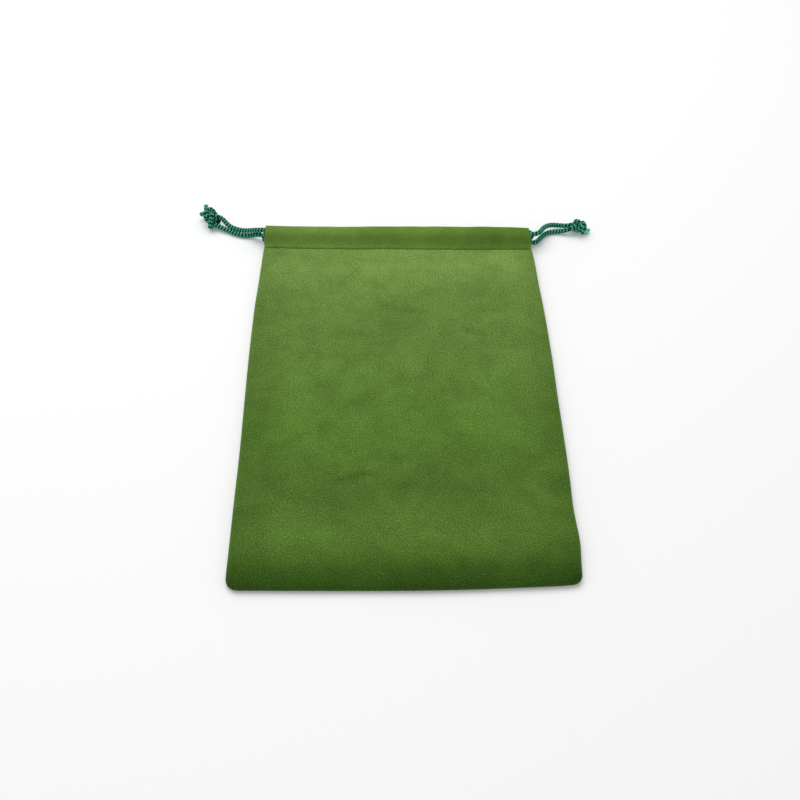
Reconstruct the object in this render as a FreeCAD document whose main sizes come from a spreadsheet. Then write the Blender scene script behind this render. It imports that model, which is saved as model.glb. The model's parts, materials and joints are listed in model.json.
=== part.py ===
"""Drawstring dice bag, lying flat: two cloth panels, their seams, and two cords that run
through the casings and are knotted at opposite sides.

Frame in millimetres: +Y towards the mouth, +X to the right, +Z up, with the origin under
the middle of the bag on the surface that it lies on.
"""
import FreeCAD
import Part
import Sketcher
import math
import os

Vector = FreeCAD.Vector
Rotation = FreeCAD.Rotation
Placement = FreeCAD.Placement

SIZES = {
    # the cloth bag
    "bag_width": 127.0,
    "bag_length": 190.0,
    "cloth": 0.7,
    "body_height": 9.0,       # of the bag below its casings
    "seam_level": 3.4,        # height of the side and bottom seams
    "edge_run": 9.0,          # width of the sloping edge of the front panel
    "under_run": 6.0,         # width of the sloping edge of the back panel
    "allowance": 8.0,         # width of the cloth turned in at each seam
    # the casings along the mouth
    "casing_depth": 13.0,
    "casing_ledge": 2.4,      # flat cloth below the casing, where it is stitched down
    "casing_slope": 4.0,      # run over which the tunnel opens out above the stitches
    "tunnel_height": 2.4,
    "mouth_gap": 4.2,         # between the two casings
    # the sewing thread
    "stitch_length": 2.0,
    "stitch_pitch": 2.6,
    "stitch_width": 0.45,
    "stitch_height": 0.3,
    "groove_width": 0.9,
    "groove_depth": 0.35,
    "seam_inset": 3.6,        # from the bag's edge to the middle of the seam stitches
    # the cords
    "cord_diameter": 2.2,
    "left_cord_line": 92.8,   # distance of each cord's line from the middle of the bag
    "right_cord_line": 89.6,
    "bight_reach": 3.6,       # how far a cord's bend stands out of the casing
    "knot_length": 9.0,
    "knot_width": 7.0,
    "knot_height": 5.2,
    "floor_gap": 0.15,
    "end_length": 6.0,
}

doc = FreeCAD.newDocument("dice_bag")
sheet = doc.addObject("Spreadsheet::Sheet", "Sizes")
for row, (alias, value) in enumerate(SIZES.items(), start=1):
    sheet.set("A%d" % row, alias.replace("_", " "))
    sheet.set("B%d" % row, str(value))
    sheet.setAlias("B%d" % row, alias)
doc.recompute()


def size(alias):
    """A size read from the sheet."""
    return float(getattr(sheet, alias))


def bind(thing, **expressions):
    """Bind properties of an object to expressions in which $ stands for the sheet."""
    for name, expression in expressions.items():
        thing.setExpression(name, expression.replace("$", "Sizes."))
    return thing


def box(name, where, **expressions):
    """A box whose low corner is worked out from the sheet."""
    made = bind(doc.addObject("Part::Box", name), **expressions)
    for axis, expression in zip("xyz", where):
        made.setExpression("Placement.Base." + axis, expression.replace("$", "Sizes."))
    return made


def cut(name, base, tool):
    made = doc.addObject("Part::Cut", name)
    made.Base = base
    made.Tool = tool
    return made


def fuse(name, shapes):
    made = doc.addObject("Part::MultiFuse", name)
    made.Shapes = shapes
    made.Refine = True
    return made


def feature(label, shape):
    """A sub-part whose shape is worked out here from the sheet's sizes."""
    made = doc.addObject("Part::Feature", label)
    made.Shape = shape
    made.Placement = Placement()
    return made


# ---- the two cloth panels ------------------------------------------------------------


def tapered_block(name, upward, inset, low, high, run, mouth):
    """A block that narrows over its height at the two sides and the bottom of the bag.

    It stands on the seam level, widest there, and tapers upward or downward. inset draws
    its three sides in, low and high are its ends measured from the seam level, run is how
    far a side leans in between them, and mouth is its square end.
    """
    block = doc.addObject("Part::Wedge", name)
    half = "($bag_width / 2 - (%s))" % inset
    foot = "($bag_length / 2 - (%s))" % inset
    end = "(%s)" % mouth
    bind(block, Xmin="-" + half, Xmax=half, Ymin=low, Ymax=high,
         X2min="-(%s - (%s))" % (half, run), X2max="%s - (%s)" % (half, run))
    if upward:
        bind(block, Zmin="-" + end, Zmax=foot, Z2min="-" + end, Z2max="%s - (%s)" % (foot, run))
    else:
        bind(block, Zmin="-" + foot, Zmax=end, Z2min="-(%s - (%s))" % (foot, run), Z2max=end)
    block.Placement = Placement(Vector(), Rotation(Vector(1, 0, 0), 90 if upward else -90))
    block.setExpression("Placement.Base.z", "Sizes.seam_level")
    return block


def shell(name, upward):
    """One panel's face, sloping edges and the seam allowance turned in around its rim."""
    rise = "($body_height - $seam_level)" if upward else "$seam_level"
    run = "$edge_run" if upward else "$under_run"
    lean = "(%s / %s)" % (run, rise)
    # A sloping wall is one cloth thick when its faces are this far apart along the seam.
    wall = "($cloth * sqrt(1 + %s * %s))" % (lean, lean)
    seam_end = "($bag_length / 2 - $casing_depth)"
    outer = tapered_block(name + "_outside", upward, "0", "0", rise, run, seam_end)
    hollow = tapered_block(
        name + "_inside", upward, "%s + $cloth * %s" % (wall, lean), "$cloth",
        "%s - $cloth" % rise, "(%s - 2 * $cloth) * %s" % (rise, lean), seam_end + " + 1")
    level = "$seam_level" if upward else "$seam_level - $cloth"
    rim = box(name + "_rim", ("-($bag_width / 2 - $allowance)",
                              "-($bag_length / 2 - $allowance)", level),
              Length="$bag_width - 2 * $allowance", Height="$cloth",
              Width="$bag_length - $allowance - $casing_depth + 1")
    return cut(name, cut(name + "_hollowed", outer, hollow), rim)


def sketched_loop(sketch, points, prefix):
    """A closed outline whose corners are bound to the sheet by name."""
    first = len(sketch.Geometry)
    count = len(points)
    for index in range(count):
        start = Vector(10 * index, index * index, 0)
        end = Vector(10 * (index + 1), (index + 1) ** 2, 0)
        sketch.addGeometry(Part.LineSegment(start, end), False)
    for index in range(count):
        following = first + (index + 1) % count
        sketch.addConstraint(Sketcher.Constraint("Coincident", first + index, 2, following, 1))
    for index, expressions in enumerate(points):
        for kind, expression in zip(("DistanceX", "DistanceY"), expressions):
            name = "%s_%s_%d" % (prefix, kind, index)
            number = sketch.addConstraint(
                Sketcher.Constraint(kind, -1, 1, first + index, 1, 1.0 + index))
            sketch.renameConstraint(number, name)
            sketch.setExpression("Constraints." + name, expression.replace("$", "Sizes."))


def fold_edges(shape, reach):
    """The long edges at the fold of a casing, at the given distance along Y."""
    names = []
    for number, edge in enumerate(shape.Edges, start=1):
        box_of_edge = edge.BoundBox
        if abs(box_of_edge.YMin - reach) < 0.01 and abs(box_of_edge.YMax - reach) < 0.01:
            if box_of_edge.XLength > 1:
                names.append("Edge%d" % number)
    return names


def casing(name, outline, tunnel):
    """A hem folded over into a tunnel, padded across the bag and rounded at its fold."""
    body = doc.addObject("PartDesign::Body", name)
    plane = [each for each in body.Origin.OriginFeatures if each.Role == "YZ_Plane"][0]
    sketch = body.newObject("Sketcher::SketchObject", name + "_profile")
    sketch.AttachmentSupport = [(plane, "")]
    sketch.MapMode = "FlatFace"
    sketched_loop(sketch, outline, "outside")
    sketched_loop(sketch, tunnel, "tunnel")
    pad = body.newObject("PartDesign::Pad", name + "_pad")
    pad.Profile = sketch
    pad.SideType = "Symmetric"
    bind(pad, Length="$bag_width")
    doc.recompute()
    fold = size("bag_length") / 2
    tip = pad
    for layer, reach, radius in (
        ("outer", fold, "$tunnel_height / 2 + $cloth - 0.05"),
        ("inner", fold - size("cloth"), "$tunnel_height / 2 - 0.05"),
    ):
        rounded = body.newObject("PartDesign::Fillet", "%s_%s_fold" % (name, layer))
        rounded.Base = (tip, fold_edges(tip.Shape, reach))
        bind(rounded, Radius=radius)
        doc.recompute()
        tip = rounded
    body.Tip = tip
    return body


MOUTH = "$bag_length / 2"
TUNNEL_END = "$bag_length / 2 - $casing_depth"
LEDGE_END = TUNNEL_END + " - $casing_ledge"
SLOPE_END = TUNNEL_END + " + $casing_slope"
CASING_HEIGHT = "($tunnel_height + 2 * $cloth)"


def back_casing():
    """The casing that lies on the surface, flat below and pinched to its stitches above."""
    outline = [(LEDGE_END, "0"), (MOUTH, "0"), (MOUTH, CASING_HEIGHT),
               (SLOPE_END, CASING_HEIGHT), (TUNNEL_END, "2 * $cloth"),
               (LEDGE_END, "2 * $cloth")]
    tunnel = [(TUNNEL_END + " + 2 * $cloth", "$cloth"), (MOUTH + " - $cloth", "$cloth"),
              (MOUTH + " - $cloth", "$cloth + $tunnel_height"),
              (SLOPE_END + " + $cloth / 2", "$cloth + $tunnel_height")]
    return casing("back_casing", outline, tunnel)


def front_casing():
    """The casing on top, whose outer cloth slopes down to the front panel's face."""
    low = "(%s + $mouth_gap)" % CASING_HEIGHT
    top = "(%s + %s)" % (low, CASING_HEIGHT)
    outline = [(LEDGE_END, low), (MOUTH, low), (MOUTH, top), (SLOPE_END, top),
               (TUNNEL_END, "$body_height"), (LEDGE_END, "$body_height")]
    tunnel = [(TUNNEL_END + " + 2 * $cloth", low + " + $cloth"),
              (MOUTH + " - $cloth", low + " + $cloth"),
              (MOUTH + " - $cloth", top + " - $cloth"),
              (SLOPE_END + " + $cloth / 2", top + " - $cloth")]
    return casing("front_casing", outline, tunnel)


def panel(label, upward, hem, groove_level):
    """A whole panel: its shell and casing in one cloth, with a groove for the stitches."""
    whole = fuse(label + "_cloth", [shell(label + "_shell", upward), hem])
    groove = box(label + "_groove", ("-$bag_width / 2 - 1", groove_low(), groove_level),
                 Length="$bag_width + 2", Width="$groove_width", Height="$groove_depth")
    return cut(label, whole, groove)


def groove_low():
    return TUNNEL_END + " - $casing_ledge / 2 - $groove_width / 2"


# ---- the sewing thread ---------------------------------------------------------------


def stitch_row(label, middle, along, reach, level, height):
    """Separate stitches centred on a line through middle; reach is half the row's length."""
    pitch = size("stitch_pitch")
    long_side = size("stitch_length") / 2
    short_side = size("stitch_width") / 2
    count = int(reach / pitch)
    half = Vector(long_side, short_side) if along == "x" else Vector(short_side, long_side)
    step = Vector(pitch, 0) if along == "x" else Vector(0, pitch)
    stitches = []
    for number in range(-count, count + 1):
        corner = Vector(*middle, level) - half + step * number
        stitches.append(Part.makeBox(2 * half.x, 2 * half.y, height, corner))
    return feature(label, Part.makeCompound(stitches))


def casing_stitches():
    line = size("bag_length") / 2 - size("casing_depth") - size("casing_ledge") / 2
    reach = size("bag_width") / 2 - size("stitch_length")
    height = size("stitch_height")
    depth = size("groove_depth")
    return [
        stitch_row("front_casing_stitches", (0, line), "x", reach,
                   size("body_height") - depth, height),
        stitch_row("back_casing_stitches", (0, line), "x", reach, depth - height, height),
    ]


def seam_stitches():
    """The thread that joins the panels, on the allowance inside the bag."""
    level = size("seam_level") + size("cloth")
    height = size("stitch_height")
    side = size("bag_width") / 2 - size("seam_inset")
    foot = -size("bag_length") / 2 + size("seam_inset")
    top = size("bag_length") / 2 - size("casing_depth") - size("casing_ledge")
    corner_gap = size("stitch_pitch")
    reach = (top - foot) / 2 - corner_gap
    middle = (top + foot) / 2
    return [
        stitch_row("left_seam_stitches", (-side, middle), "y", reach, level, height),
        stitch_row("right_seam_stitches", (side, middle), "y", reach, level, height),
        stitch_row("bottom_seam_stitches", (0, foot), "x", side - corner_gap, level, height),
    ]


# ---- the cords -----------------------------------------------------------------------


def rounded_path(points):
    """Straight runs joined by tangent arcs, each as large as its two runs allow."""
    edges = []
    radii = []
    here = points[0]
    for before, corner, after in zip(points, points[1:], points[2:]):
        back, ahead = before - corner, after - corner
        shorter = min(back.Length, ahead.Length)
        half_turn = (math.pi - back.getAngle(ahead)) / 2
        radius = 0.45 * shorter / math.tan(half_turn)
        back.normalize()
        ahead.normalize()
        start, end = corner + back * 0.45 * shorter, corner + ahead * 0.45 * shorter
        inward = (back + ahead).normalize()
        middle = corner + inward * radius * (1 / math.cos(half_turn) - 1)
        edges.append(Part.LineSegment(here, start).toShape())
        edges.append(Part.Arc(start, middle, end).toShape())
        radii.append(radius)
        here = end
    edges.append(Part.LineSegment(here, points[-1]).toShape())
    return Part.Wire(edges), radii


def cord(label, points):
    """A round cord swept along its route; its volume is checked against its length."""
    path, radii = rounded_path(points)
    radius = size("cord_diameter") / 2
    heading = points[1] - points[0]
    section = Part.Wire([Part.Circle(points[0], heading, radius).toShape()])
    tube = path.makePipeShell([section], True, False)
    expected = math.pi * radius ** 2 * path.Length
    print("%s: length %.1f mm, radii %s, volume ratio %.4f" % (
        label, path.Length, ["%.1f" % each for each in radii], tube.Volume / expected))
    assert abs(tube.Volume / expected - 1) < 0.01, label
    return feature(label, tube)


def knot(label, centre, angle):
    """The outer shape of the knot, resting just clear of the surface."""
    made = doc.addObject("Part::Ellipsoid", label)
    bind(made, Radius1="$knot_height / 2", Radius2="$knot_length / 2",
         Radius3="$knot_width / 2")
    made.Placement = Placement(Vector(*centre, 0), Rotation(Vector(0, 0, 1), angle))
    made.setExpression("Placement.Base.z", "Sizes.knot_height / 2 + Sizes.floor_gap")
    return made


def cord_ends(label, centre, angles):
    """The two short ends past the knot, lying out to their sealed tips."""
    radius = size("cord_diameter") / 2
    level = radius + size("floor_gap") + 0.25
    ends = []
    for angle, start in angles:
        heading = Vector(math.cos(math.radians(angle)), math.sin(math.radians(angle)), 0)
        foot = Vector(*centre, level) + heading * start
        ends.append(Part.makeCylinder(radius, size("end_length"), foot, heading))
    return feature(label, Part.makeCompound(ends))


def route(outward, tails, line):
    """A cord's route: in along the front casing, round its bight and out along the back.

    outward is -1 for the cord knotted at the left and +1 for the one at the right. tails
    holds the hand-placed points of the front and the back tail, from the knot inwards.
    """
    casing_height = size("tunnel_height") + 2 * size("cloth")
    low = casing_height / 2
    high = low + casing_height + size("mouth_gap")
    bend = -outward * (size("bag_width") / 2 + size("bight_reach"))
    front, back = tails
    points = [Vector(*each) for each in front]
    points += [Vector(bend, line, high), Vector(bend, line, low)]
    points += [Vector(*each) for each in reversed(back)]
    return points


LEFT_FRONT_TAIL = [
    (-88.6, 110.9, 2.9), (-83.4, 107.4, 2.0), (-78.2, 102.4, 3.4), (-73.2, 96.4, 7.2),
    (-67.2, 92.8, 9.9),
]
LEFT_BACK_TAIL = [
    (-88.0, 107.8, 1.9), (-83.0, 104.0, 1.35), (-77.8, 99.3, 1.3), (-72.8, 95.4, 1.45),
    (-67.2, 92.8, 1.9),
]
RIGHT_FRONT_TAIL = [
    (84.8, 105.8, 2.9), (80.0, 103.6, 2.1), (76.4, 98.0, 3.9), (73.0, 92.2, 7.4),
    (67.4, 89.6, 9.9),
]
RIGHT_BACK_TAIL = [
    (84.6, 102.6, 1.9), (80.4, 99.4, 1.35), (77.2, 94.6, 1.3), (72.8, 90.8, 1.45),
    (67.4, 89.6, 1.9),
]
LEFT_KNOT = (-91.4, 110.4)
RIGHT_KNOT = (88.0, 104.2)


def build():
    """Make every sub-part and return them in the order of their files."""
    parts = [
        panel("front_panel", True, front_casing(), "$body_height - $groove_depth"),
        panel("back_panel", False, back_casing(), "0"),
    ]
    parts += casing_stitches()
    parts += seam_stitches()
    parts += [
        cord("left_cord", route(-1, (LEFT_FRONT_TAIL, LEFT_BACK_TAIL), size("left_cord_line"))),
        knot("left_knot", LEFT_KNOT, 125),
        cord_ends("left_cord_ends", LEFT_KNOT, ((112, 2.5), (168, 2.5))),
        cord("right_cord",
             route(1, (RIGHT_FRONT_TAIL, RIGHT_BACK_TAIL), size("right_cord_line"))),
        knot("right_knot", RIGHT_KNOT, 20),
        cord_ends("right_cord_ends", RIGHT_KNOT, ((-8, 1.5), (62, 0.5))),
    ]
    return parts


def check(parts):
    """Stop if any object failed or any sub-part is empty or broken."""
    for each in doc.Objects:
        broken = [state for state in each.State if state in ("Invalid", "Error")]
        assert not broken, (each.Name, each.State)
    for each in parts:
        assert not each.Shape.isNull() and each.Shape.isValid(), each.Label


sub_parts = build()
doc.recompute()
check(sub_parts)
os.makedirs("parts", exist_ok=True)
for part in sub_parts:
    part.Shape.exportStep("parts/%s.step" % part.Label)
    box_of_part = part.Shape.BoundBox
    print("%-24s solids %3d volume %9.2f z %.2f..%.2f" % (
        part.Label, len(part.Shape.Solids), part.Shape.Volume, box_of_part.ZMin,
        box_of_part.ZMax))
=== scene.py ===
"""The looks of the drawstring dice bag: suedecloth panels, thread, braided cords and knots."""
import json
import math

import bpy
import numpy as np
from mathutils import Matrix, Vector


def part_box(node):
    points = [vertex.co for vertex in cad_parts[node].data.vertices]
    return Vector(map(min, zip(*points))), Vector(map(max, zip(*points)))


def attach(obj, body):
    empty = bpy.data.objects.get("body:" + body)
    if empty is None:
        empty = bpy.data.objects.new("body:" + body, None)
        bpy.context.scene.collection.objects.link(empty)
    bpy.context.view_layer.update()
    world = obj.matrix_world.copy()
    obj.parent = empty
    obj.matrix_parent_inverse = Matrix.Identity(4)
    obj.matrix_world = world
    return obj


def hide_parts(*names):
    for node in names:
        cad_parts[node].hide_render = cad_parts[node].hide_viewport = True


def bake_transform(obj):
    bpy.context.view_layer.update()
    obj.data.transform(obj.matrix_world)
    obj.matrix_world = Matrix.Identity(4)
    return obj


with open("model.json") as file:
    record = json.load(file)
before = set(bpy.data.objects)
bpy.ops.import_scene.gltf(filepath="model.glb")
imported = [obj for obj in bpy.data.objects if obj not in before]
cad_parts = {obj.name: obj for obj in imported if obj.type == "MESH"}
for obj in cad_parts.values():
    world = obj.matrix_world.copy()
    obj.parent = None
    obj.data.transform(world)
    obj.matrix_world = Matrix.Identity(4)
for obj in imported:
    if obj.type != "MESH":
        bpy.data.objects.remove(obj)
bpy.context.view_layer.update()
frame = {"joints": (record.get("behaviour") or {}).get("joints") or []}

MM = 0.001

# ---- driving sizes in millimetres, worked out from the frame where it holds them ------

BAG_LOW, BAG_HIGH = (np.array(corner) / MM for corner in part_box("back_panel"))
HALF_WIDTH = float(BAG_HIGH[0])
FOOT = float(BAG_LOW[1])
MOUTH = float(BAG_HIGH[1])
CLOTH = 0.7
row_low, row_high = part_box("front_casing_stitches")
STITCH_LINE = float(row_low[1] + row_high[1]) / 2 / MM
CORD_RADIUS = 1.1
LEFT_LINE = 92.8            # where the left cord runs in both tunnels
RIGHT_LINE = 90.5           # and the right cord, just clear of it
PULL = frame["joints"][0]["range_m"][1] / MM      # how far a cord can be drawn out

# ---- small tools ---------------------------------------------------------------------


def smooth(low, high, value):
    """0 below low and 1 above high, with a smooth step between."""
    t = np.clip((np.asarray(value, float) - low) / (high - low), 0, 1)
    return t * t * (3 - 2 * t)


def waves(seed, shortest, longest, count=28):
    """A random smooth field of the plane with features between two sizes, about -1 to 1."""
    rng = np.random.default_rng(seed)
    angle = rng.uniform(0, 2 * math.pi, count)
    length = np.exp(rng.uniform(math.log(shortest), math.log(longest), count))
    phase = rng.uniform(0, 2 * math.pi, count)

    def field(x, y):
        """The field's value at a place."""
        total = 0
        for a, size, start in zip(angle, length, phase):
            turn = 2 * math.pi / size
            total = total + np.cos(turn * (math.cos(a) * x + math.sin(a) * y) + start)
        return total / math.sqrt(count)

    return field


def new_mesh(name, vertices, faces, material, uvs=None, values=None):
    """A smooth mesh object from millimetre vertices, with UVs and named values per vertex."""
    data = bpy.data.meshes.new(name)
    data.from_pydata((np.asarray(vertices) * MM).tolist(), [], [list(f) for f in faces])
    data.shade_smooth()
    loops = np.zeros(len(data.loops), int)
    data.loops.foreach_get("vertex_index", loops)
    if uvs is not None:
        layer = data.uv_layers.new(name="cloth")
        layer.data.foreach_set("uv", np.asarray(uvs, float)[loops].ravel())
    for label, numbers in (values or {}).items():
        attribute = data.attributes.new(label, "FLOAT", "POINT")
        attribute.data.foreach_set("value", np.asarray(numbers, np.float32))
    data.materials.append(material)
    data.update()
    piece = bpy.data.objects.new(name, data)
    bpy.context.scene.collection.objects.link(piece)
    return piece


def grid_faces(rows, columns, start=0, wrap=False):
    """Quads over a grid of vertices stored row by row."""
    index = np.arange(rows * columns).reshape(rows, columns) + start
    if wrap:
        index = np.hstack([index, index[:, :1]])
    a, b = index[:-1, :-1], index[:-1, 1:]
    c, d = index[1:, 1:], index[1:, :-1]
    return np.stack([a, b, c, d], -1).reshape(-1, 4)


# ---- the cloth: one sheet a panel, from its bottom seam over the fold to its hem's edge ---

TUNNEL_HALF = 1.55          # from a casing's middle to the middle of either of its layers
PINCH_HALF = 0.4            # the same where the stitches hold the layers together
FOLD_CENTRE = MOUTH - TUNNEL_HALF - CLOTH / 2
SIDE_ROLL = 2.6             # how far a side edge rolls in before the cloth lies flat
FOOT_ROLL = 8.0
SIDE_SEAM_LEVEL = 1.6
FOOT_SEAM_LEVEL = 1.35
HEM_TURN = 2.2              # cloth past the stitches on the inside
COLUMN = 0.9
ROW = 0.75

BACK_LEVEL = 0.36           # height of the middle of the back's cloth on the table
GROOVE_WIDTH = 0.55         # the groove that the casing's stitches pull into the cloth
FRONT_GROOVE = 0.75
BACK_GROOVE = 0.3
EDGE_DIP = 0.5              # how far the seams pull the edges in
EDGE_DIP_TURN = 0.22
CREASE_HEIGHT = 0.30        # the uneven surface: broad creases, ripples, and the folds' gain
RIPPLE_HEIGHT = 0.10
FOLD_GAIN = 1.4
PUCKER_HEIGHT = 0.10
CASING_WAVE = 0.12
CORNER_LEFT = 4.0           # radii of the two bottom corners
CORNER_RIGHT = 3.2

# Points of smooth curves, each a place and a number. The line gives the front's height along
# the bag, the swells how far each side bows out, and the shifts how far the foot, the casing's
# stitches and the mouth lie from their straight lines, towards the mouth.
FRONT_LINE = [(FOOT, 4.3), (-60, 4.3), (0, 4.3), (50, 4.5), (STITCH_LINE, 5.05)]
FRONT_MIDDLE = 7.0          # height of the front casing's middle at the centre of the bag
RIGHT_SWELL = [(FOOT, -0.6), (-88, -0.2), (-79, 0.6), (-63, 0.2), (-49, 0.7), (-30, 1.05),
               (-9, 1.2), (13, 1.6), (50, 1.35), (63, 0.9), (75, 0.35), (82, -0.2), (MOUTH, -0.7)]
LEFT_SWELL = [(FOOT, 0.1), (-70, 0.3), (-33, 0.6), (0, 1.3), (30, 1.7), (50, 1.6), (70, 0.8),
              (80, 0.4), (MOUTH, 0)]
FOOT_SHIFT = [(-HALF_WIDTH, 0.0), (-40, -0.25), (20, -0.25), (45, 0.6), (56, 1.1),
              (HALF_WIDTH, 1.7)]
STITCH_SHIFT = [(-HALF_WIDTH, 2.1), (-45, 1.5), (0, 1.3), (45, 1.1), (HALF_WIDTH, 1.5)]
MOUTH_SHIFT = [(-HALF_WIDTH, 0.1), (-50, -0.1), (10, 0.3), (50, 0.2), (HALF_WIDTH, 0.0)]

# soft creases left by folding: (x, y) to (x, y), height, and width of each slope
FOLD_CREASES = [
    ((-13, 48), (15, 37), 0.42, 1.0), ((22, 43), (56, 51), -0.26, 1.2),
    ((21, 30), (41, 26), 0.42, 1.1), ((-28, 27), (-7, 26), 0.40, 1.8),
    ((-21, 12), (9, 11), -0.26, 0.9), ((32, 10), (39, -9), -0.40, 1.0),
    ((-2, -31), (10, -34), 0.40, 2.0), ((-30, -50.5), (-5, -46.5), 0.42, 0.9),
    ((-6, -52), (8, -53), 0.46, 1.6), ((34, -56), (56, -54), -0.34, 1.4),
    ((-63, -29), (-44, -22), 0.26, 1.3), ((26, 18), (63, 13), -0.28, 1.8),
    ((-50, 70), (-20, 64), -0.20, 2.0), ((-20, -74), (24, -70), 0.22, 2.4),
]


def folds(x, y):
    """The height of the fold creases: each a low slope that wanders and fades at its ends."""
    total = 0
    for start, end, height, width in FOLD_CREASES:
        start, run = np.array(start, float), np.subtract(end, start).astype(float)
        length = np.linalg.norm(run)
        run /= length
        along = ((x - start[0]) * run[0] + (y - start[1]) * run[1]) / length
        off = -(x - start[0]) * run[1] + (y - start[1]) * run[0]
        off = off + 0.9 * np.sin(along * 6 + start[0])
        slope = np.tanh(off / width) * np.exp(-(off / (4 * width)) ** 2)
        total = total + height * slope * smooth(0, 0.3, along) * smooth(1, 0.7, along)
    return total


# painted light and shade in patches on the front: x, y, reach across and along, and how pale
LIGHT_AND_SHADE_PATCHES = [
    (-17, 26, 13, 10, -0.7), (-50, 48, 14, 7, -0.4), (12, 41, 14, 9, -0.45),
    (52, 21, 14, 7, -0.5), (-23, -12, 14, 10, -0.4), (55, -29, 9, 8, -0.5),
    (32, -42, 16, 7, -0.45), (-36, -71, 30, 9, -0.5), (57, -72, 9, 12, -0.9),
    (-1, -51, 18, 6, -0.25), (-9, 74, 15, 5, -0.35), (-54, 76, 12, 5, -0.4),
    (-32, 5, 9, 12, 0.6), (-50, 30, 9, 9, 0.3), (-30, 67, 12, 6, 0.45),
    (-3, 55, 10, 7, 0.4), (38, 73, 14, 6, 0.5), (43, 3, 12, 10, 0.3),
    (-19, -41, 16, 7, 0.3), (8, -87, 16, 6, 0.35), (22, -29, 9, 6, 0.25),
]


def patch_light_and_shade(x, y):
    """How pale the front's painted patches make it, from about -1, painted shade, to 1, painted
    light.
    """
    total = 0 * x
    for place_x, place_y, across, along, pale in LIGHT_AND_SHADE_PATCHES:
        total = total + pale * np.exp(-((x - place_x) / across) ** 2
                                      - ((y - place_y) / along) ** 2)
    return np.clip(total, -1, 1)


creases = waves(11, 26, 80)
ripples = waves(12, 9, 22)
hem_ripples = waves(13, 5, 14)


def smooth_line(points, value):
    """A smooth curve through a few (place, height) points."""
    places, heights = np.array(points, float).T
    value = np.asarray(value, float)
    index = np.clip(np.searchsorted(places, value) - 1, 0, len(places) - 2)
    slopes = np.gradient(heights, places)
    width = places[index + 1] - places[index]
    t = np.clip((value - places[index]) / width, 0, 1)
    a, b = heights[index], heights[index + 1]
    return ((2 * t ** 3 - 3 * t ** 2 + 1) * a + (t ** 3 - 2 * t ** 2 + t) * width * slopes[index]
            + (3 * t ** 2 - 2 * t ** 3) * b + (t ** 3 - t ** 2) * width * slopes[index + 1])


def half_height(y):
    """Half the distance between a casing's two layers."""
    return PINCH_HALF + (TUNNEL_HALF - PINCH_HALF) * smooth(STITCH_LINE + 0.4, STITCH_LINE + 7, y)


def casing_middle(front, x, y):
    """Height of the middle of a casing, where its cords run."""
    across = np.abs(x) / HALF_WIDTH
    if front:
        rise = smooth(STITCH_LINE, STITCH_LINE + 8, y)
        pinch = FRONT_LINE[-1][1] - PINCH_HALF
        lift = -0.5 * np.sign(x) * across ** 6
        return pinch + (FRONT_MIDDLE + lift - pinch) * rise
    return BACK_LEVEL + half_height(y) + 0.6 * across ** 6 * smooth(STITCH_LINE, MOUTH, y)


def row_stations():
    """(y, layer, foot angle) along the sheet; layer is 1 on the outside and -1 on the hem."""
    rows = []
    for turn in np.linspace(0, math.pi / 2, 9)[:-1]:
        rows.append((FOOT + FOOT_ROLL * (1 - math.cos(turn)), 1.0, turn))
    fine = STITCH_LINE - 4
    for y in np.arange(FOOT + FOOT_ROLL, fine, ROW):
        rows.append((y, 1.0, math.pi / 2))
    for y in np.arange(fine, STITCH_LINE + 3, 0.25):
        rows.append((y, 1.0, math.pi / 2))
    for y in np.linspace(STITCH_LINE + 3, FOLD_CENTRE, 16)[:-1]:
        rows.append((y, 1.0, math.pi / 2))
    for turn in np.linspace(0, math.pi, 15):
        rows.append((FOLD_CENTRE + TUNNEL_HALF * math.sin(turn), math.cos(turn), math.pi / 2))
    for y in np.linspace(FOLD_CENTRE, STITCH_LINE - HEM_TURN, 22)[1:]:
        rows.append((y, -1.0, math.pi / 2))
    return np.array(rows)


def column_stations():
    """(distance from the centre line, side angle) across half a sheet."""
    flat = HALF_WIDTH - SIDE_ROLL
    columns = [(0.0, math.pi / 2), (0.06, math.pi / 2)]
    for x in np.linspace(0.6, flat, int(flat / COLUMN))[:-1]:
        columns.append((x, math.pi / 2))
    for turn in np.linspace(math.pi / 2, 0, 9):
        columns.append((HALF_WIDTH - SIDE_ROLL * (1 - math.cos(turn)), turn))
    return np.array(columns)


def rounded_corner(x, y):
    """Pull the two bottom corners of the outline in to a curve."""
    radius = np.where(x < 0, CORNER_LEFT, CORNER_RIGHT)
    over_x = np.clip((radius - (HALF_WIDTH - np.abs(x))) / radius, 0, 1)
    over_y = np.clip((radius - (y - FOOT)) / radius, 0, 1)
    reach = np.hypot(over_x, over_y)
    scale = np.where(reach > 0, np.maximum(over_x, over_y) / np.maximum(reach, 1e-9), 1)
    x = x - np.sign(x) * over_x * (1 - scale) * radius
    return x, y + over_y * (1 - scale) * radius


def plan_shift(x, y):
    """The unevenness of the cut: sides that bow, and a hem and a mouth that aren't square."""
    side = (np.abs(x) / HALF_WIDTH) ** 3
    swell = np.where(x > 0, smooth_line(RIGHT_SWELL, y), smooth_line(LEFT_SWELL, y))
    low = np.clip((MOUTH - y) / (MOUTH - FOOT), 0, 1) ** 6
    high = smooth(STITCH_LINE, MOUTH, y)
    hem = smooth(55, STITCH_LINE, y) * smooth(MOUTH - 1, STITCH_LINE, y)
    lift = (smooth_line(FOOT_SHIFT, x) * low + smooth_line(STITCH_SHIFT, x) * hem
            + smooth_line(MOUTH_SHIFT, x) * high)
    return x + np.sign(x) * side * swell, y + lift


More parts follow.
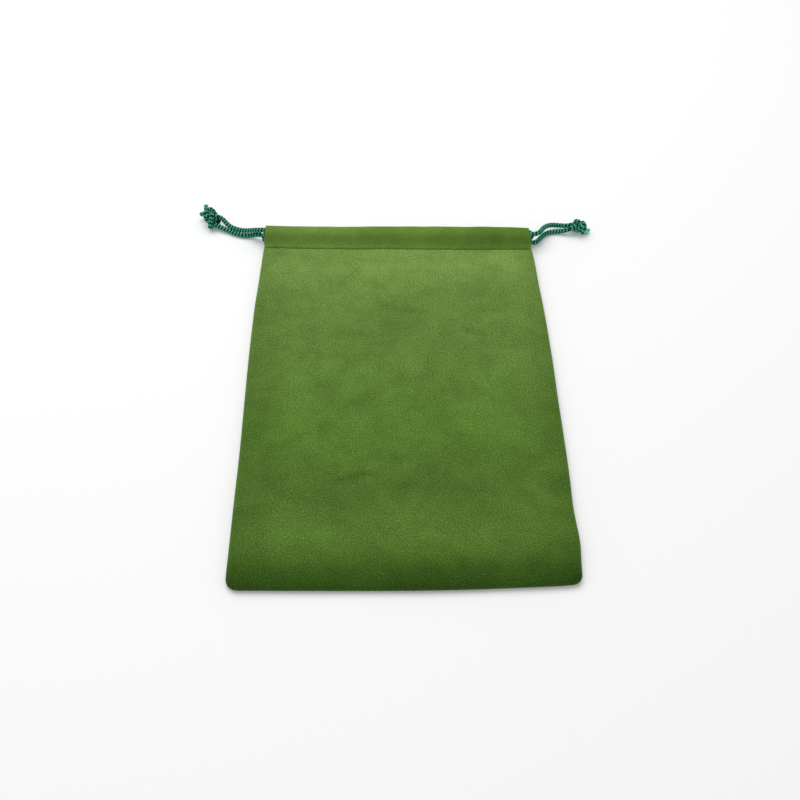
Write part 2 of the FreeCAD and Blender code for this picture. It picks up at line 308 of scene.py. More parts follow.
def sheet_surface(front, x, y, layer, side_turn, foot_turn):
    """The middle of the cloth, for arrays of stations."""
    outward = 1 if front else -1
    inside = y < STITCH_LINE
    half = np.where(inside & (layer > 0), 0, half_height(y)) * layer * outward
    body = smooth_line(FRONT_LINE, y) if front else np.full_like(y, BACK_LEVEL)
    centre = np.where(inside & (layer > 0), body, casing_middle(front, x, y) + half)
    hem_tail = inside & (layer < 0)
    centre = np.where(hem_tail, body - outward * 2 * PINCH_HALF, centre)
    groove = np.exp(-((y - STITCH_LINE) / GROOVE_WIDTH) ** 2) * (layer > 0)
    centre = centre - outward * groove * (FRONT_GROOVE if front else BACK_GROOVE)

    # the edges' height: low along the seams, rising to the casing, whose ends are open
    seam = SIDE_SEAM_LEVEL + (FOOT_SEAM_LEVEL - SIDE_SEAM_LEVEL) * smooth(20, FOOT, y)
    seam = seam + (FRONT_LINE[-1][1] - 0.8 - seam) * smooth(55, STITCH_LINE, y)
    open_end = smooth(STITCH_LINE - 1, STITCH_LINE + 7, y)
    edge = seam + (centre - seam) * open_end
    rise = np.sin(side_turn) * np.sin(foot_turn)
    z = edge + (centre - edge) * rise

    # broad faint creases on the outside, and puckers that fade away from the stitches
    flat = np.clip(rise, 0, 1)
    if front:
        wave = (CREASE_HEIGHT * creases(x, y) + RIPPLE_HEIGHT * ripples(x, y)
                + FOLD_GAIN * folds(x, y))
        z = z + wave * flat * np.where(layer > 0, 1, 0) * smooth(2, 12, STITCH_LINE - y)
    pucker = PUCKER_HEIGHT * hem_ripples(x, y * 0.15)
    z = z + outward * pucker * flat * np.exp(-((y - STITCH_LINE) / 5) ** 2)
    casing_wave = CASING_WAVE * ripples(x, y * 0.2) * smooth(STITCH_LINE, STITCH_LINE + 6, y)
    z = z + outward * casing_wave * np.where(front, 1, 0.3)

    if not front:
        z = np.maximum(z, CLOTH / 2)         # the back rests on the table
    dip = EDGE_DIP * np.exp(-(side_turn / EDGE_DIP_TURN) ** 2) * (1 - open_end)
    x = x - np.sign(x) * dip
    y = y + EDGE_DIP * np.exp(-(foot_turn / EDGE_DIP_TURN) ** 2)
    x, y = rounded_corner(x, y)
    x, y = plan_shift(x, y)
    return np.stack([x, y, z], -1)


def cloth_half(name, front, side, material):
    """One half of a panel as a closed sheet of real thickness; side is 1 at the right."""
    rows, columns = row_stations(), column_stations()
    x = side * columns[:, 0][None, :] + 0 * rows[:, 0][:, None]
    y = rows[:, 0][:, None] + 0 * x
    layer = rows[:, 1][:, None] + 0 * x
    foot_turn = rows[:, 2][:, None] + 0 * x
    side_turn = columns[:, 1][None, :] + 0 * x
    middle = sheet_surface(front, x, y, layer, side_turn, foot_turn)
    along = np.gradient(middle, axis=0)
    across = np.gradient(middle, axis=1) * side
    normal = np.cross(across, along)
    normal /= np.maximum(np.linalg.norm(normal, axis=-1, keepdims=True), 1e-9)
    if not front:
        normal = -normal
    # the run along the sheet, for the cloth's own coordinates
    step = np.linalg.norm(np.diff(middle[:, 0], axis=0), axis=-1)
    run = np.concatenate([[0], np.cumsum(step)])[:, None] + 0 * x
    outer = (middle + normal * CLOTH / 2).reshape(-1, 3)
    inner = (middle - normal * CLOTH / 2).reshape(-1, 3)
    count, width = middle.shape[:2]
    skin = grid_faces(count, width)
    lining = grid_faces(count, width, start=len(outer))[:, ::-1]
    index = np.arange(count * width).reshape(count, width)
    ring = np.concatenate([index[0, :-1], index[:-1, -1], index[-1, :0:-1], index[:0:-1, 0]])
    follow = np.roll(ring, -1)
    rim = np.stack([ring, ring + len(outer), follow + len(outer), follow], -1)
    faces = np.concatenate([skin, lining, rim])
    if (side > 0) != front:
        faces = faces[:, ::-1]
    uvs = np.stack([x.ravel(), run.ravel()], -1) * MM
    # painted light and shade in patches on the front's outside
    pale = (patch_light_and_shade(x, y) * (layer > 0) * front).ravel()
    piece = new_mesh(name, np.concatenate([outer, inner]), faces, material,
                     uvs=np.concatenate([uvs, uvs]),
                     values={"painted_patches": np.concatenate([pale, pale])})
    mark_rim(piece, set(ring.tolist()), len(outer))
    return piece


def mark_rim(piece, ring, offset):
    """Keep the cut edges crisp, so that the cloth's faces shade as one smooth sheet."""
    data = piece.data
    rim = ring | {each + offset for each in ring}
    sharp = data.attributes.new("sharp_edge", "BOOLEAN", "EDGE")
    flags = [edge.vertices[0] in rim and edge.vertices[1] in rim for edge in data.edges]
    sharp.data.foreach_set("value", flags)


# ---- thread ----------------------------------------------------------------------------


def tube(centres, radius, sides, relief=None):
    """Rings of vertices round a line, with a relief added to the radius, and its faces.

    relief(angle, run) gives the height to add, and is also kept as a value per vertex.
    """
    centres = np.asarray(centres, float)
    run = np.concatenate([[0], np.cumsum(np.linalg.norm(np.diff(centres, axis=0), axis=1))])
    heading = np.gradient(centres, axis=0)
    heading /= np.linalg.norm(heading, axis=1, keepdims=True)
    side = np.zeros_like(centres)
    guess = np.cross(heading[0], (0.0, 0.0, 1.0))
    if np.linalg.norm(guess) < 0.1:
        guess = np.cross(heading[0], (0.0, 1.0, 0.0))
    side[0] = guess / np.linalg.norm(guess)
    for index in range(1, len(centres)):
        moved = side[index - 1] - heading[index] * np.dot(side[index - 1], heading[index])
        side[index] = moved / np.linalg.norm(moved)
    up = np.cross(heading, side)
    angle = np.linspace(0, 2 * math.pi, sides, endpoint=False)[None, :]
    raised = relief(angle, run[:, None]) if relief else np.zeros((len(centres), sides))
    reach = (np.broadcast_to(np.asarray(radius, float), (len(centres),))[:, None] + raised)
    ring = (side[:, None, :] * (np.cos(angle) * reach)[..., None]
            + up[:, None, :] * (np.sin(angle) * reach)[..., None])
    vertices = (centres[:, None, :] + ring).reshape(-1, 3)
    faces = grid_faces(len(centres), sides, wrap=True).tolist()
    faces.append(list(range(sides))[::-1])
    faces.append([(len(centres) - 1) * sides + index for index in range(sides)])
    return vertices, faces, raised.ravel(), run


def join(parts):
    """Several (vertices, faces, values, values) as one."""
    faces, start = [], 0
    for points, polygons, *_ in parts:
        faces += [[index + start for index in polygon] for polygon in polygons]
        start += len(points)
    vertices, _, first, second = zip(*parts)
    return np.concatenate(vertices), faces, np.concatenate(first), np.concatenate(second)


STITCH_LENGTH = 2.0
STITCH_PITCH = 2.6
STITCH_RADIUS = 0.22
STITCH_SINK = 0.16          # how far a stitch's ends sink into the cloth
STITCH_PROUD = 0.02
SEAM_INSET = 1.1            # from the bag's edge in to its seam
INSIDE_LEVEL = 1.5          # stitches above it sink down, and those below it sink up


def thread_piece(name, centres, directions, material):
    """A row of separate stitches, each a short length of thread that sinks in at its ends."""
    parts = []
    for centre, direction in zip(centres, directions):
        direction = np.asarray(direction, float) / np.linalg.norm(direction)
        along = np.linspace(-1, 1, 9)
        line = centre + along[:, None] * direction * STITCH_LENGTH / 2
        line[:, 2] -= math.copysign(STITCH_SINK, centre[2] - INSIDE_LEVEL) * along ** 4
        radius = STITCH_RADIUS * (1 - 0.6 * along ** 6)
        vertices, faces, values, _ = tube(line, radius, 10)
        parts.append((vertices, faces, values, values))
    vertices, faces, _, _ = join(parts)
    return new_mesh(name, vertices, faces, material)


def casing_stitches(front, side):
    """Centres and directions of half a casing's stitches, in the groove they pull."""
    x = side * np.arange(STITCH_PITCH / 2, HALF_WIDTH - 2.2, STITCH_PITCH)
    whole = np.ones_like(x)
    places = [sheet_surface(front, x + step, STITCH_LINE * whole, whole,
                            math.pi / 2 * whole, math.pi / 2 * whole) for step in (0, 0.3)]
    outward = 1 if front else -1
    centres = places[0] + [0, 0, outward * (CLOTH / 2 + STITCH_PROUD)]
    centres[:, 2] = np.maximum(centres[:, 2], STITCH_RADIUS)
    return centres, places[1] - places[0]


def side_stitches(side):
    """The stitches of a side seam, through both layers at the bag's edge."""
    y = np.arange(FOOT + 4, STITCH_LINE - 3, STITCH_PITCH)
    x, y = plan_shift(side * np.full_like(y, HALF_WIDTH - SEAM_INSET), y)
    z = np.full_like(y, SIDE_SEAM_LEVEL)
    return np.stack([x, y, z], -1), np.tile([0.0, 1.0, 0.0], (len(y), 1))


def foot_stitches():
    """The stitches of the bottom seam."""
    x = np.arange(-HALF_WIDTH + 5, HALF_WIDTH - 4.9, STITCH_PITCH)
    x, y = plan_shift(x, np.full_like(x, FOOT + SEAM_INSET))
    return (np.stack([x, y, np.full_like(x, FOOT_SEAM_LEVEL)], -1),
            np.tile([1.0, 0.0, 0.0], (len(x), 1)))


# ---- the braided cords -------------------------------------------------------------------

BRAID_STEP = 0.14
RING_SIDES = 32
SIGHT_MARGIN = 4            # how far inside a tunnel's end a cord can still be seen
DRAWN_MARGIN = 6            # the same when the cords are drawn out
BRAID_TURN = math.radians(-5)
YARN_PITCH = 1.6
YARN_RELIEF = 0.34


def braid(angle, run):
    """The relief of a round braid: eight columns of slanting yarns that meet in chevrons."""
    across = np.abs(((angle - BRAID_TURN) % (math.pi / 2)) - math.pi / 4)
    yarn = np.abs(np.cos(math.pi * run / YARN_PITCH + 2 * across)) ** 1.3
    column = 1 - np.cos(4 * across) ** 8
    return YARN_RELIEF * (yarn * (0.55 + 0.45 * column) - 0.55)


def spline_points(points, spacing):
    """Evenly spaced points along the smooth spline that a route's points control."""
    curve = bpy.data.curves.new("route", "CURVE")
    curve.dimensions = "3D"
    curve.resolution_u = 40
    spline = curve.splines.new("NURBS")
    spline.points.add(len(points) - 1)
    for place, point in zip(spline.points, points):
        place.co = (*point, 1)
    spline.order_u = 3
    spline.use_endpoint_u = True
    holder = bpy.data.objects.new("route", curve)
    bpy.context.scene.collection.objects.link(holder)
    bpy.context.view_layer.update()
    line = bpy.data.meshes.new_from_object(holder)
    found = np.array([vertex.co for vertex in line.vertices], float)
    bpy.data.objects.remove(holder)
    bpy.data.curves.remove(curve)
    bpy.data.meshes.remove(line)
    return resample(found, spacing)


def resample(points, spacing=None, count=None):
    """The same line with even steps, by their length or their number."""
    run = np.concatenate([[0], np.cumsum(np.linalg.norm(np.diff(points, axis=0), axis=1))])
    even = np.linspace(0, run[-1], count or max(2, int(round(run[-1] / spacing)) + 1))
    return np.stack([np.interp(even, run, points[:, axis]) for axis in range(3)], -1)


# Each tail's route from its knot to its tunnel; the cord rests on whatever is under it.
LEFT_FRONT_TAIL = [
    (-82.6, 101.0, 2.6), (-77.7, 98.6, 2.5), (-74.1, 97.2, 3.2), (-70.4, 95.8, 4.7),
    (-67.0, 93.7, 6.6), (-63.4, 92.9, 7.3), (-56.0, 92.8, 7.2), (-44.0, 92.8, 7.0),
]
LEFT_BACK_TAIL = [
    (-82.9, 99.3, 1.4), (-77.5, 96.4, 1.25), (-74.1, 95.9, 1.25), (-70.9, 95.9, 1.5),
    (-67.6, 94.8, 3.1), (-64.0, 93.0, 3.0), (-57.0, 92.8, 2.2), (-44.0, 92.8, 1.95),
]
RIGHT_FRONT_TAIL = [
    (80.4, 103.8, 1.8), (74.8, 102.9, 2.9), (70.9, 97.8, 5.4),
    (68.2, 91.6, 7.3), (64.0, 90.5, 6.9), (56.0, 90.5, 6.8), (44.0, 90.5, 7.0),
]
RIGHT_BACK_TAIL = [
    (79.4, 99.8, 1.25), (73.7, 99.2, 1.25), (70.1, 95.7, 1.25),
    (67.2, 91.1, 1.6), (63.4, 90.4, 2.2), (56.0, 90.5, 2.1), (44.0, 90.5, 1.95),
]
FRONT_TUNNEL = 7.0          # heights of a cord in its two tunnels, where the tails end too
BACK_TUNNEL = 1.95
BIGHT_REACH = 1.1           # from the bag's side out to the middle of a cord's bend
BIGHT_RUN = 3.0             # from the side in to where the bend's runs are level
BIGHT_START = 15.5          # from the side in to where they leave the tunnels' heights
BIGHT_LOW = 2.2             # height of the bend's lower run


def cord_route(outward, front, back, line, high):
    """The control points of one cord, from its knot round its bight and back to the knot."""
    turn = -outward * (HALF_WIDTH + BIGHT_REACH)
    inner = -outward * (HALF_WIDTH - BIGHT_RUN)
    far = -outward * (HALF_WIDTH - BIGHT_START)
    bend = [(far, line, FRONT_TUNNEL), (inner, line, high), (turn, line, high),
            (turn, line, BIGHT_LOW), (inner, line, BIGHT_LOW), (far, line, BACK_TUNNEL)]
    return front + bend + back[::-1]


def cord_piece(name, points, material):
    """A braided cord, with fewer rings in the tunnels, and fewest where it never comes out."""
    line = spline_points(points, BRAID_STEP)
    place = np.sign(points[0][0]) * line[:, 0]
    in_sight = np.abs(place) > HALF_WIDTH - SIGHT_MARGIN
    # with both cords out, the mouth's side and this cord are apart by twice the pull
    never_out = place < HALF_WIDTH - 2 * PULL - DRAWN_MARGIN
    every = np.where(in_sight, 1, np.where(never_out, 6, 2))
    line = line[np.arange(len(line)) % every == 0]
    vertices, faces, values, run = tube(line, CORD_RADIUS, RING_SIDES, braid)
    values = {"relief": values, "seal": 0 * values}
    return new_mesh(name, vertices, faces, material, values=values), line, float(run[-1])


# ---- the knots: two strands side by side, tied and pulled tight -------------------------------

STRAND_STEP = 0.7
TIE_STEPS = 400
TIE_PULL = 0.08             # how far each end is pulled at a step
TIE_ROUNDS = 4              # rounds of keeping length and pushing apart after each pull
TIE_SMOOTHING = 0.1
TIE_PUSH = 0.4              # the share of an overlap that each point gives way by
TIE_OVERSHOOT = 1.6
CROWD_REACH = 5             # the knot's middle is where most points are this near each other
CROWD_RANK = 70


def loose_knot():
    """Two strands side by side along a loose overhand knot, as evenly spaced points."""
    t = np.linspace(-2.25, 2.25, 900)
    middle = 1.8 * np.stack([t ** 3 - 3 * t, 0.9 * (t ** 4 - 4 * t ** 2),
                             0.9 * (0.2 * t ** 5 - 2 * t)], -1)
    heading = np.gradient(middle, axis=0)
    heading /= np.linalg.norm(heading, axis=1, keepdims=True)
    side = np.zeros_like(middle)
    side[0] = np.cross(heading[0], (0, 0, 1))
    side[0] /= np.linalg.norm(side[0])
    for index in range(1, len(middle)):
        moved = side[index - 1] - heading[index] * np.dot(side[index - 1], heading[index])
        side[index] = moved / np.linalg.norm(moved)
    count = int(np.linalg.norm(np.diff(middle, axis=0), axis=1).sum() / STRAND_STEP)
    return [resample(middle + sign * side * CORD_RADIUS * 1.1, count=count) for sign in (1, -1)]


def tie_knot():
    """Pull the loose knot tight, by its ends: strands keep their length and push apart."""
    strands = loose_knot()
    count = len(strands[0])
    points = np.concatenate(strands)
    thick = 2 * CORD_RADIUS
    label = np.concatenate([np.arange(count), np.arange(count) + 100 * count])
    first, second = np.triu_indices(2 * count, 1)
    apart = np.abs(label[first] - label[second]) > math.ceil(1.5 * thick / STRAND_STEP)
    first, second = first[apart], second[apart]
    for _ in range(TIE_STEPS):
        for start in (0, count):
            pull = points[start + count - 1] - points[start]
            pull *= TIE_PULL / np.linalg.norm(pull)
            points[start] -= pull
            points[start + count - 1] += pull
        for _ in range(TIE_ROUNDS):
            for start in (0, count):
                strand = points[start:start + count]
                for parity in (0, 1):
                    index = np.arange(parity, count - 1, 2)
                    gap = strand[index + 1] - strand[index]
                    length = np.linalg.norm(gap, axis=1, keepdims=True)
                    shift = gap * (length - STRAND_STEP) / length / 2
                    strand[index] += shift
                    strand[index + 1] -= shift
                strand[1:-1] += TIE_SMOOTHING * ((strand[:-2] + strand[2:]) / 2 - strand[1:-1])
            gap = points[second] - points[first]
            length = np.linalg.norm(gap, axis=1)
            close = length < thick
            share = (thick - length[close]) / length[close] * TIE_PUSH
            shift = gap[close] * share[:, None]
            total, hits = np.zeros_like(points), np.zeros(len(points))
            for ends, sign in ((first[close], -1), (second[close], 1)):
                np.add.at(total, ends, sign * shift)
                np.add.at(hits, ends, 1)
            points += TIE_OVERSHOOT * total / np.maximum(hits, 1)[:, None]
    return knot_frame(points.reshape(2, count, 3))


def knot_frame(strands):
    """The knot with its middle at zero and its cord coming in along +X."""
    points = strands.reshape(-1, 3)
    crowd = (np.linalg.norm(points[:, None] - points[None], axis=-1) < CROWD_REACH).sum(1)
    centre = points[crowd > np.percentile(crowd, CROWD_RANK)].mean(0)
    forward = (strands[:, -1] - strands[:, 0]).mean(0)
    forward /= np.linalg.norm(forward)
    across = np.cross((0, 0, 1), forward)
    across /= np.linalg.norm(across)
    return (strands - centre) @ np.array([forward, across, np.cross(forward, across)]).T


def place_knot(strands, centre, heading, climb, turn, size):
    """Turn a knot about its own line, point it, shrink it and stand it on the surface."""
    heading, climb, turn = (math.radians(angle) for angle in (heading, climb, turn))
    forward = np.array([math.cos(heading) * math.cos(climb),
                        math.sin(heading) * math.cos(climb), math.sin(climb)])
    across = np.cross((0, 0, 1), forward)
    across /= np.linalg.norm(across)
    upward = np.cross(forward, across)
    turned = strands.copy()
    turned[..., 1] = math.cos(turn) * strands[..., 1] - math.sin(turn) * strands[..., 2]
    turned[..., 2] = math.sin(turn) * strands[..., 1] + math.cos(turn) * strands[..., 2]
    run = turned[..., 0] * size
    return (turned * size) @ np.array([forward, across, upward]) + np.array(centre), run


def knot_pieces(word, strands, run, near, far, radius, tips, paleness, material):
    """The knot and the two cut ends beyond it; also where its cord leaves it and which way.

    near and far are how much of each strand is knot, on the cord's side and on the ends' side.
    """
    parts, end_parts, joins = [], [], []
    for strand, along, tip in zip(strands, run, tips):
        start = int(np.argmax(along > -near))
        stop = len(along) - 1 - int(np.argmax((along < far)[::-1]))
        line = spline_points(strand[start:stop + 1], BRAID_STEP)
        here = np.arange(len(line)) * BRAID_STEP
        thickness = radius + (CORD_RADIUS - radius) * (1 - smooth(0, 3, here))
        vertices, faces, values, _ = tube(line, thickness, RING_SIDES, braid)
        parts.append((vertices, faces, values, 0 * values))
        into = line[0] - line[4]
        joins.append((line[0], into / np.linalg.norm(into)))
        out = line[-1] - line[-5]
        out /= np.linalg.norm(out)
        onward = line[-1] + out * 1.2
        onward[2] = max(onward[2], radius + 0.1)
        line = spline_points([line[-1] - out * 0.6, onward, tip], BRAID_STEP)
        left = (len(line) - 1 - np.arange(len(line))) * BRAID_STEP
        thickness = radius * (0.45 + 0.55 * np.sqrt(np.clip(left / 0.9, 0, 1)))
        vertices, faces, values, _ = tube(line, thickness, RING_SIDES, braid)
        seal = np.repeat(paleness * (1 - smooth(0.7, 1.6, left)), RING_SIDES)
        end_parts.append((vertices, faces, values * (1 - seal), seal))
    made = []
    for label, found in (("knot", parts), ("cord_ends", end_parts)):
        vertices, faces, values, seal = join(found)
        made.append(new_mesh("%s_tied_%s" % (word, label), vertices, faces, material,
                             values={"relief": values, "seal": seal}))
    return made, joins


# ---- materials -----------------------------------------------------------------------------


class Look:
    """A node material, with the node set-ups that the looks share."""

    def __init__(self, name):
        self.material = bpy.data.materials.new(name)
        self.material.use_nodes = True
        self.tree = self.material.node_tree
        self.shader = self.tree.nodes["Principled BSDF"]

    def add(self, kind, **settings):
        """A node of a kind, with its settings."""
        node = self.tree.nodes.new(kind)
        for key, value in settings.items():
            setattr(node, key, value)
        return node

    def feed(self, socket, source):
        """Link an output to a socket, or set the socket to a number or a colour."""
        if isinstance(source, bpy.types.NodeSocket):
            self.tree.links.new(source, socket)
        else:
            socket.default_value = (*source, 1) if isinstance(source, tuple) else source

    def surface(self, **settings):
        """Set the surface's inputs; an underscore stands for a space in an input's name."""
        for name, source in settings.items():
            self.feed(self.shader.inputs[name.replace("_", " ")], source)

    def noise(self, place, scale, detail=2.0, roughness=0.5, distortion=0.0):
        """A random pattern of values, with its scale per metre."""
        node = self.add("ShaderNodeTexNoise")
        for name, source in (("Vector", place), ("Scale", scale), ("Detail", detail),
                             ("Roughness", roughness), ("Distortion", distortion)):
            self.feed(node.inputs[name], source)
        return node.outputs["Fac"]

    def value(self, name):
        """A value that the mesh holds for each vertex."""
        return self.add("ShaderNodeAttribute", attribute_name=name).outputs["Fac"]

    def spread(self, source, low, high):
        """Take low to high to 0 to 1."""
        node = self.add("ShaderNodeMapRange")
        for name, number in (("Value", source), ("From Min", low), ("From Max", high)):
            self.feed(node.inputs[name], number)
        return node.outputs["Result"]

    def maths(self, operation, first, second):
        """One of Blender's sums with two values."""
        node = self.add("ShaderNodeMath", operation=operation)
        self.feed(node.inputs[0], first)
        self.feed(node.inputs[1], second)
        return node.outputs["Value"]

    def ramp(self, source, stops):
        """A colour by a value, from (place, colour) stops."""
        node = self.add("ShaderNodeValToRGB")
        elements = node.color_ramp.elements
        while len(elements) < len(stops):
            elements.new(0.5)
        for element, (place, colour) in zip(elements, stops):
            element.position = place
            element.color = (*colour, 1)
        self.feed(node.inputs["Fac"], source)
        return node.outputs["Color"]

    def mix(self, share, first, second, blend="MIX"):
        """The second colour over the first, by a share."""
        node = self.add("ShaderNodeMix", data_type="RGBA", blend_type=blend)
        for name, source in (("Factor", share), ("A", first), ("B", second)):
            self.feed(node.inputs[name], source)
        return node.outputs["Result"]

    def bump(self, height, strength, distance):
        """Raise the surface by a height, with distance in metres."""
        node = self.add("ShaderNodeBump")
        for name, source in (("Height", height), ("Strength", strength), ("Distance", distance)):
            self.feed(node.inputs[name], source)
        self.feed(self.shader.inputs["Normal"], node.outputs["Normal"])


PANEL_RUN = 0.2             # the sheet's run, in metres, that the stops of the painted light below divide
CASING_START = 0.8975       # where the casing's band starts and is full, in the same units: its pile is pressed smoother and it carries painted shade
CASING_FULL = 0.9035


def suedecloth():
    """Short napped suede: specks and faint clouds, with painted light and shade along the cloth,
    at its side edges and in patches.
    """
    look = Look("suedecloth")
    cloth = look.add("ShaderNodeUVMap", uv_map="cloth").outputs["UV"]
    speck = look.noise(cloth, 1800, 5, 0.8)
    patch = look.noise(cloth, 150, 5, 0.62, 0.8)
    cloud = look.noise(cloth, 42, 3, 0.6, 0.6)
    apart = look.add("ShaderNodeSeparateXYZ")
    look.feed(apart.inputs["Vector"], cloth)
    along = look.spread(apart.outputs["Y"], 0.0, PANEL_RUN)
    sideways = look.spread(apart.outputs["X"], -HALF_WIDTH * MM, HALF_WIDTH * MM)
    casing = look.spread(along, CASING_START, CASING_FULL)
    body = look.maths("SUBTRACT", 1.0, casing)

    fine = look.ramp(speck, [(0.34, (0.066, 0.145, 0.016)), (0.45, (0.186, 0.334, 0.056)),
                             (0.54, (0.256, 0.433, 0.095)), (0.67, (0.620, 0.845, 0.355))])
    # the casing's nap is pressed smoother
    colour = look.mix(look.maths("MULTIPLY", casing, 0.4), fine, (0.256, 0.426, 0.098))

    mottle = look.ramp(patch, [(0.38, (0.88, 0.89, 0.87)), (0.47, (0.94, 0.95, 0.94)),
                               (0.60, (1.0, 1.0, 1.0))])
    broad = look.ramp(cloud, [(0.38, (0.83, 0.84, 0.82)), (0.62, (1.0, 1.0, 1.0))])
    # painted light and shade along the cloth: painted shade on the foot's roll, growing lighter
    # up to the stitches, a painted shadow in their groove, the casing, and a painted highlight on
    # its fold
    painted_light_along = look.ramp(along, [(0.012, (0.20, 0.28, 0.14)), (0.040, (0.26, 0.35, 0.18)),
                            (0.075, (0.46, 0.55, 0.35)), (0.110, (0.585, 0.675, 0.48)),
                            (0.205, (0.475, 0.555, 0.385)), (0.365, (0.56, 0.665, 0.45)),
                            (0.605, (0.71, 0.75, 0.645)), (0.745, (0.78, 0.79, 0.72)),
                            (0.841, (1.0, 1.0, 1.0)), (0.894, (0.96, 0.98, 0.94)),
                            (0.8972, (0.94, 0.96, 0.91)), (0.8995, (0.44, 0.48, 0.35)),
                            (0.902, (0.86, 0.875, 0.77)), (0.908, (0.86, 0.87, 0.77)),
                            (0.917, (0.81, 0.825, 0.71)),
                            (0.928, (0.77, 0.78, 0.655)), (0.937, (0.77, 0.78, 0.655)),
                            (0.951, (0.88, 0.89, 0.77)), (0.962, (1.0, 1.0, 0.92))])
    # painted shade along both side edges, where the cloth rolls down; the casing is left out
    painted_edge_shade = look.ramp(sideways, [(0.0, (0.80, 0.82, 0.78)), (0.07, (0.88, 0.89, 0.87)),
                                (0.14, (1.0, 1.0, 1.0)), (0.92, (1.0, 1.0, 1.0)),
                                (0.965, (0.90, 0.91, 0.88)), (1.0, (0.78, 0.80, 0.74))])
    # painted light and shade in patches on the front
    painted_patches = look.ramp(look.spread(look.value("painted_patches"), -1.0, 1.0),
                        [(0.0, (0.70, 0.71, 0.68)), (0.5, (0.85, 0.85, 0.85)),
                         (1.0, (1.0, 1.0, 1.0))])
    # painted shade: the casing darker towards the right
    across = look.ramp(sideways, [(0.03, (0.84, 0.86, 0.79)), (0.33, (0.96, 0.98, 0.89)),
                                  (0.50, (0.76, 0.82, 0.64)), (0.72, (0.79, 0.84, 0.63)),
                                  (0.92, (0.63, 0.70, 0.52))])
    for shade, share in ((mottle, 1.0), (broad, 1.0), (painted_light_along, 1.0), (painted_edge_shade, body), (painted_patches, 1.0),
                         (across, casing)):
        colour = look.mix(share, colour, shade, "MULTIPLY")
    look.bump(speck, 0.45, 0.0002)
    look.surface(Base_Color=colour, Roughness=0.95, Specular_IOR_Level=0.08, Sheen_Weight=0.22,
                 Sheen_Roughness=0.45, Sheen_Tint=(0.50, 0.80, 0.30))
    return look.material


def braided_nylon():
    """Painted shade between the yarns, a painted highlight on their crowns, and pale where the
    cut ends are sealed.
    """
    look = Look("braided_nylon")
    # painted shade in the gaps between yarns and a painted highlight on their crowns
    yarn_shade_and_highlight = look.ramp(look.spread(look.value("relief"), -0.15, 0.11),
                      [(0.0, (0.0, 0.002, 0.001)), (0.50, (0.001, 0.012, 0.007)),
                       (0.66, (0.008, 0.165, 0.100)), (1.0, (0.078, 0.580, 0.385))])
    colour = look.mix(look.value("seal"), yarn_shade_and_highlight, (0.36, 0.80, 0.67))
    place = look.add("ShaderNodeTexCoord").outputs["Object"]
    look.bump(look.noise(place, 5000), 0.3, 0.00005)
    look.surface(Base_Color=colour, Roughness=0.55, Specular_IOR_Level=0.2)
    return look.material


def sewing_thread():
    """Dark green thread."""
    look = Look("sewing_thread")
    look.surface(Base_Color=(0.010, 0.030, 0.004), Roughness=0.7)
    return look.material


def pale_floor():
    """A white sheet with a faint light of its own."""
    look = Look("pale_floor")
    look.surface(Base_Color=(0.93, 0.93, 0.93), Emission_Color=(1, 1, 1), Emission_Strength=0.10,
                 Roughness=0.7)
    return look.material


# ---- building the pieces ---------------------------------------------------------------------

cloth_look = suedecloth()
cord_look = braided_nylon()
thread_look = sewing_thread()


def gather(piece):
    """Bake the piece's place into its mesh."""
    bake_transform(piece)


def finish_piece(node):
    """Hide the CAD node's part from the render and the viewport."""
    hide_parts(node)


for front, panel, word in ((True, "front_panel", "front"), (False, "back_panel", "back")):
    for side, end in ((1, "right"), (-1, "left")):
        half = cloth_half("%s_cloth_%s" % (panel, end), front, side, cloth_look)
        gather(half)
        finish_piece(panel)
        row = thread_piece("%s_casing_thread_%s" % (word, end), *casing_stitches(front, side),
                           thread_look)
        gather(row)
        finish_piece(word + "_casing_stitches")

for side, end in ((1, "right"), (-1, "left")):
    row = thread_piece(end + "_seam_thread", *side_stitches(side), thread_look)
    gather(row)
    finish_piece(end + "_seam_stitches")
row = thread_piece("bottom_seam_thread", *foot_stitches(), thread_look)
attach(row, "bag")
finish_piece("bottom_seam_stitches")

tied = tie_knot()
# Each cord: which way its knot lies, its route, its knot's place and turn, how much of each
# strand is knot, the cut ends' tips, and how pale they are sealed.
CORDS = [
    {"word": "left", "outward": -1, "tails": (LEFT_FRONT_TAIL, LEFT_BACK_TAIL),
     "line": LEFT_LINE, "bight": 6.5, "exit": (-67.0, 93.7, 6.6), "crossed": True,
     "knot": {"centre": (-91.4, 105.9, 4.4), "heading": 146, "climb": 6, "turn": 236,
              "size": 0.96},
     "near": 3.0, "far": 4.4, "radius": 1.05,
     "tips": ((-97.9, 110.2, 2.6), (-95.6, 116.6, 3.6)), "seal": 0.35},
    {"word": "right", "outward": 1, "tails": (RIGHT_FRONT_TAIL, RIGHT_BACK_TAIL),
     "line": RIGHT_LINE, "bight": 7.2, "exit": (67.2, 92.6, 6.2), "crossed": False,
     "knot": {"centre": (88.9, 100.5, 3.65), "heading": -14, "climb": -10, "turn": 244,
              "size": 0.74},
     "near": 4.2, "far": 3.0, "radius": 0.98,
     "tips": ((93.1, 99.4, 1.7), (94.7, 101.1, 1.7)), "seal": 1.0},
]


def build_cord(cord):
    """One drawstring: its knot, the cut ends beyond it, and the cord that leaves it."""
    word = cord["word"]
    strands, run = place_knot(tied, **cord["knot"])
    (knot, ends), joins = knot_pieces(word, strands, run, cord["near"], cord["far"],
                                      cord["radius"], cord["tips"], cord["seal"], cord_look)
    if cord["crossed"]:
        joins = joins[::-1]
    routes = []
    for (place, away), tail in zip(joins, cord["tails"]):
        routes.append([tuple(place), tuple(place + 2.0 * away)] + tail)
    route = cord_route(cord["outward"], *routes, cord["line"], cord["bight"])
    piece, centres, length = cord_piece(word + "_braided_cord", route, cord_look)
    for made, part in ((piece, "cord"), (knot, "knot"), (ends, "cord_ends")):
        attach(made, word + "_drawstring")
        finish_piece("%s_%s" % (word, part))


for cord in CORDS:
    build_cord(cord)


# ---- the stage ---------------------------------------------------------------------------------

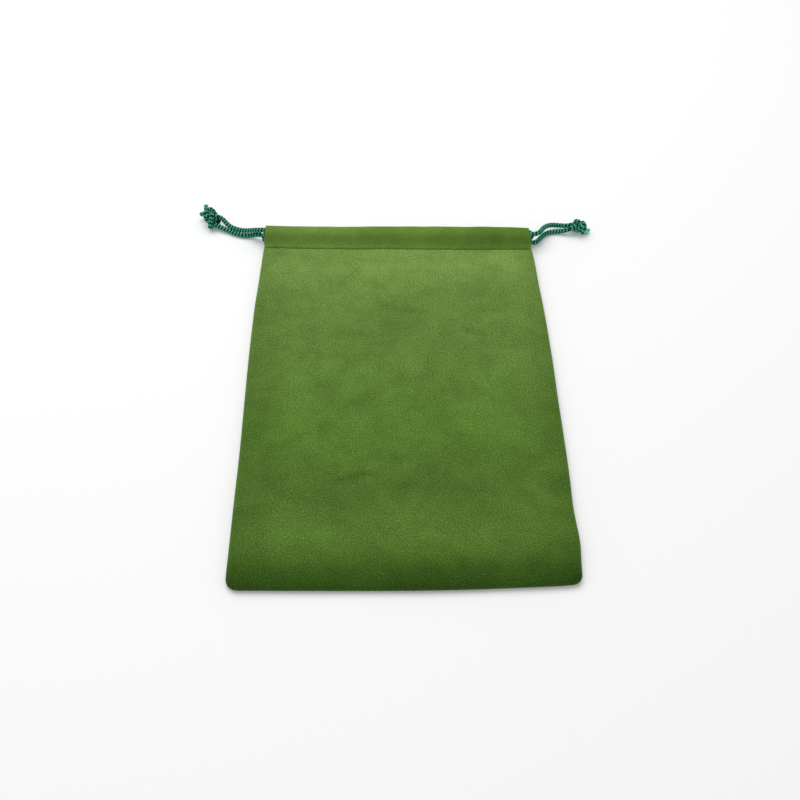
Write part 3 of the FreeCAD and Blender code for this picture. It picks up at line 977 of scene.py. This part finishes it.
LENS = 40.48
CAMERA_PLACE = (-9.29, -246.19, 288.45)
CAMERA_TILT = 50.32
CAMERA_YAW = 2.06
CAMERA_ROLL = 1.53
SENSOR = 36
FLOOR_REACH = 1500
WORLD_STRENGTH = 0.55
LIGHT_POWER = 7.1
LIGHT_SIZE = (1.1, 0.8)
LIGHT_PLACE = (-0.22, 0.50, 1.00)       # in metres; the light faces the middle of the floor


def stage():
    """A pale floor, and soft light from above and behind."""
    corners = [(-FLOOR_REACH, -FLOOR_REACH, 0), (FLOOR_REACH, -FLOOR_REACH, 0),
               (FLOOR_REACH, FLOOR_REACH, 0), (-FLOOR_REACH, FLOOR_REACH, 0)]
    floor = new_mesh("floor", corners, [(0, 1, 2, 3)], pale_floor())
    world = bpy.data.worlds.new("studio")
    world.use_nodes = True
    world.node_tree.nodes["Background"].inputs["Color"].default_value = (1, 1, 1, 1)
    world.node_tree.nodes["Background"].inputs["Strength"].default_value = WORLD_STRENGTH
    bpy.context.scene.world = world
    light = bpy.data.lights.new("softbox", "AREA")
    light.shape = "RECTANGLE"
    light.size, light.size_y = LIGHT_SIZE
    light.energy = LIGHT_POWER
    softbox = bpy.data.objects.new("softbox", light)
    place = np.array(LIGHT_PLACE)
    softbox.location = place
    back = place / np.linalg.norm(place)
    flat = np.cross((0, 0, 1), back)
    flat /= np.linalg.norm(flat)
    aim = Matrix([flat, np.cross(back, flat), back]).transposed()
    softbox.rotation_euler = aim.to_euler()
    bpy.context.scene.collection.objects.link(softbox)
    bpy.context.scene.view_settings.view_transform = "Standard"


def camera():
    """The camera, by its place and three angles: down, aside and about its own line."""
    data = bpy.data.cameras.new("camera")
    data.lens = LENS
    data.sensor_width = SENSOR
    data.clip_start = 0.01
    holder = bpy.data.objects.new("camera", data)
    tilt, yaw, roll = (math.radians(a) for a in (CAMERA_TILT, CAMERA_YAW, CAMERA_ROLL))
    forward = np.array([math.sin(yaw) * math.cos(tilt), math.cos(yaw) * math.cos(tilt),
                        -math.sin(tilt)])
    flat = np.array([math.cos(yaw), -math.sin(yaw), 0])
    upright = np.cross(flat, forward)
    right = math.cos(roll) * flat + math.sin(roll) * upright
    up = -math.sin(roll) * flat + math.cos(roll) * upright
    turn = Matrix([right, up, -forward]).transposed()
    holder.matrix_world = turn.to_4x4()
    holder.location = [c * MM for c in CAMERA_PLACE]
    bpy.context.scene.collection.objects.link(holder)
    bpy.context.scene.camera = holder


stage()
camera()
